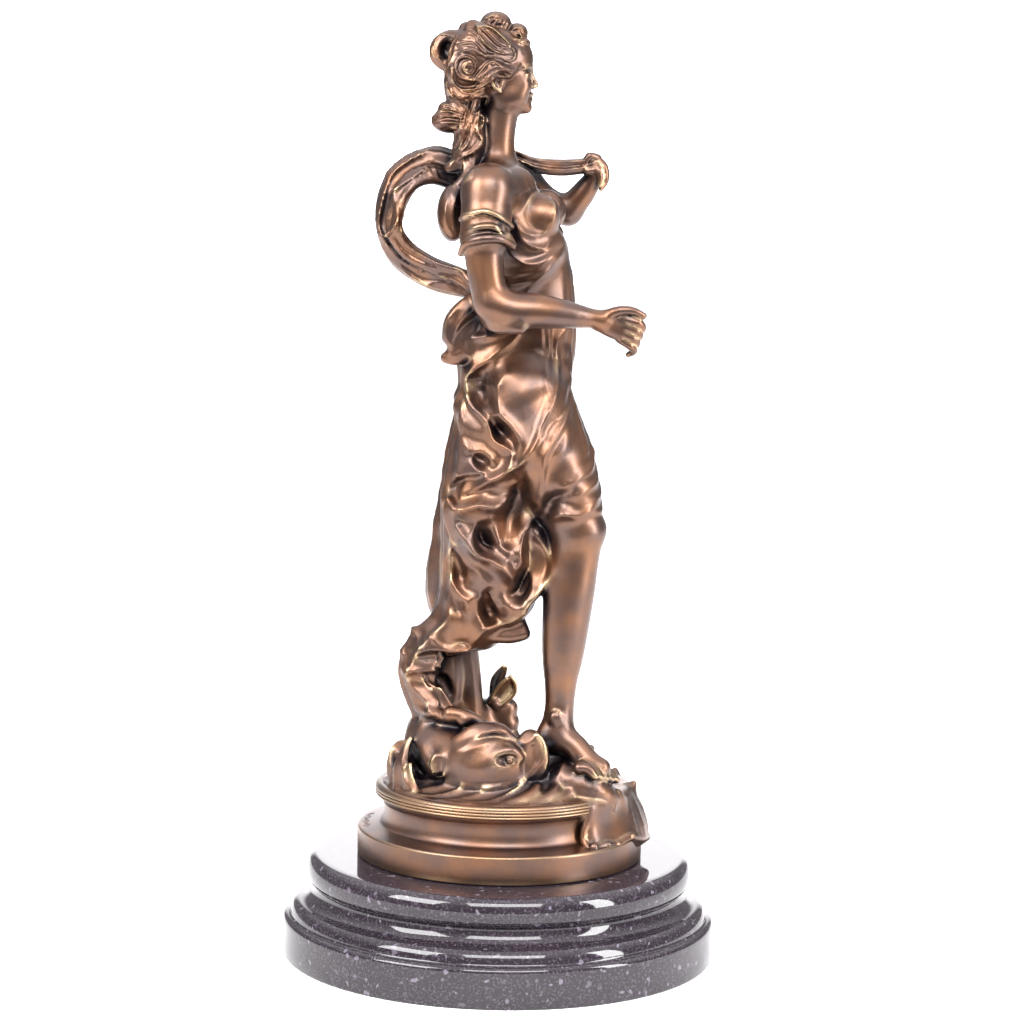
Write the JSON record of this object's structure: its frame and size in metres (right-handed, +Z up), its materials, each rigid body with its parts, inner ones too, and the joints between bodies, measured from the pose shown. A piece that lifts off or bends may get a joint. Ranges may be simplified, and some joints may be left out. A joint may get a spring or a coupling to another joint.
{
  "type": "bronze goddess statue",
  "caption": "Cast bronze goddess in windblown drapery with a looped scarf and a dolphin at the feet, on a turned black marble plinth.",
  "frame": {"origin": "centre of the plinth's underside, on the surface the statue stands on", "axes": "+Z up, +X the way the figure faces and walks, -Y the figure's right side, which the picture shows"},
  "size_m": [0.179, 0.179, 0.388],
  "materials": {
    "patinated_bronze": "warm brown patina, burnished on the high edges",
    "black_marble": "polished near-black marble with grey fossil flecks"
  },
  "bodies": {
    "root": {"bronze_goddess": "patinated_bronze", "marble_plinth": "black_marble"}
  },
  "joints": []
}
